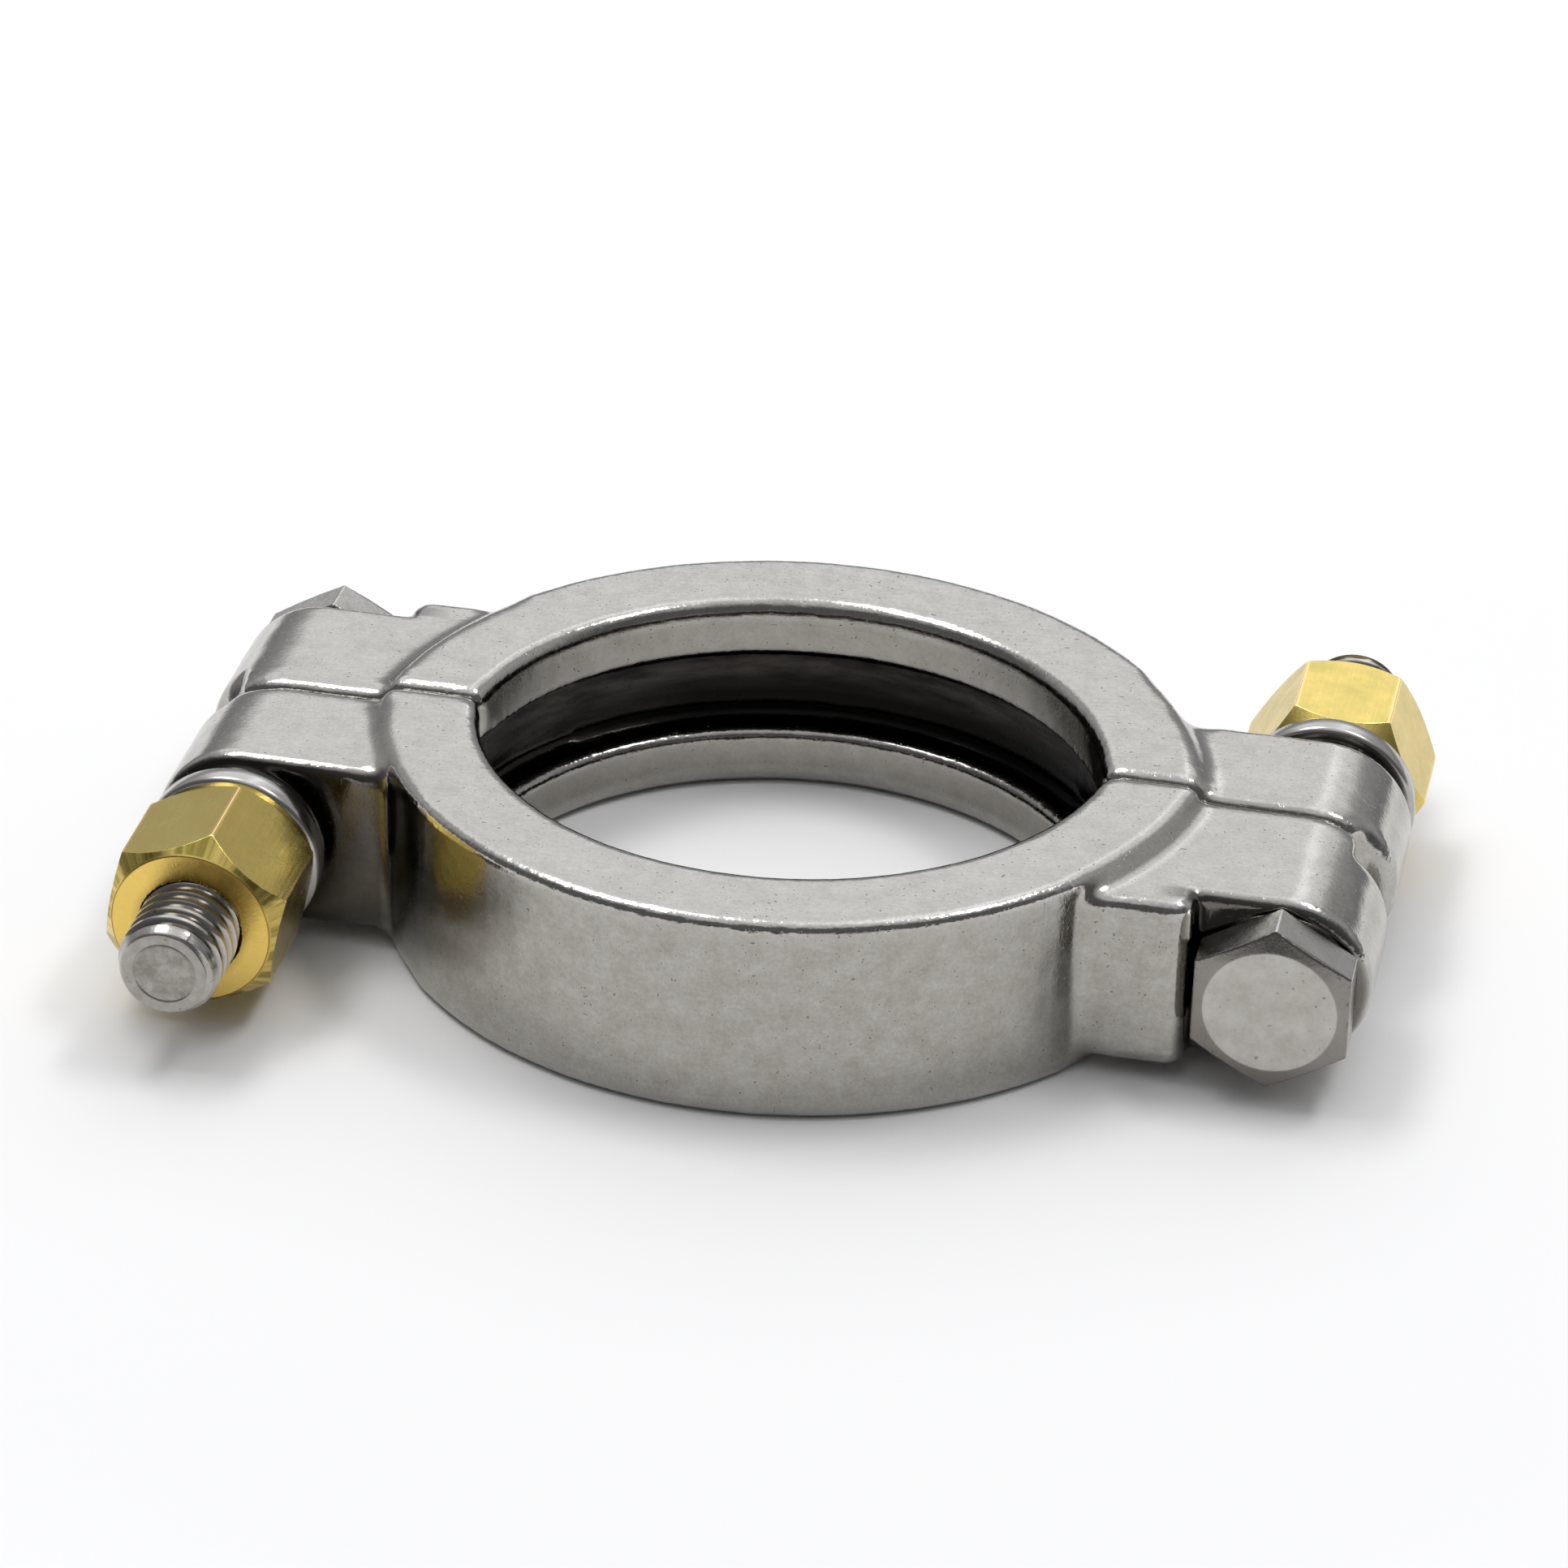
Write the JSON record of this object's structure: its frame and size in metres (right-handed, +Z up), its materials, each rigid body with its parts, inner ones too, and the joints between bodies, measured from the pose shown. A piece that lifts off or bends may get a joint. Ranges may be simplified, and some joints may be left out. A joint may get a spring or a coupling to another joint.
{
  "type": "two-bolt high-pressure sanitary clamp",
  "caption": "Ring clamp for sanitary ferrules: cast half rings with lugs, drawn together by hexagon bolts with thick brass nuts and lock washers.",
  "frame": {"origin": "centre of the closed ring, at its bottom face", "axes": "+Z up along the ring's axis, +X through the right lug, +Y from the front half to the rear half"},
  "size_m": [0.1159, 0.0804, 0.0206],
  "materials": {
    "casting": "tumbled investment-cast stainless steel",
    "bolt": "plain stainless steel",
    "washer": "bright stainless steel",
    "nut": "satin brass"
  },
  "bodies": {
    "front": {"front_half": "casting", "right_bolt": "bolt", "left_lock_washer": "washer"},
    "rear": {"rear_half": "casting", "left_bolt": "bolt", "right_lock_washer": "washer"},
    "left_nut_body": {"left_nut": "nut"},
    "right_nut_body": {"right_nut": "nut"}
  },
  "joints": [
    {"name": "halves_part", "type": "slide", "parent": "front", "child": "rear", "axis": [0, 1, 0], "range_m": [0, 0.008]},
    {"name": "left_nut_turn", "type": "hinge", "parent": "front", "child": "left_nut_body", "pos_m": [-0.04905, -0.0254, 0.0103], "axis": [0, -1, 0], "range_deg": [0, 1820]},
    {"name": "right_nut_turn", "type": "hinge", "parent": "rear", "child": "right_nut_body", "pos_m": [0.04905, 0.0254, 0.0103], "axis": [0, 1, 0], "range_deg": [0, 1820]}
  ],
  "couplings": [
    {"joint": "left_nut_turn", "follows": "halves_part", "rad_per_m": 3957.9},
    {"joint": "right_nut_turn", "follows": "halves_part", "rad_per_m": 3957.9}
  ]
}
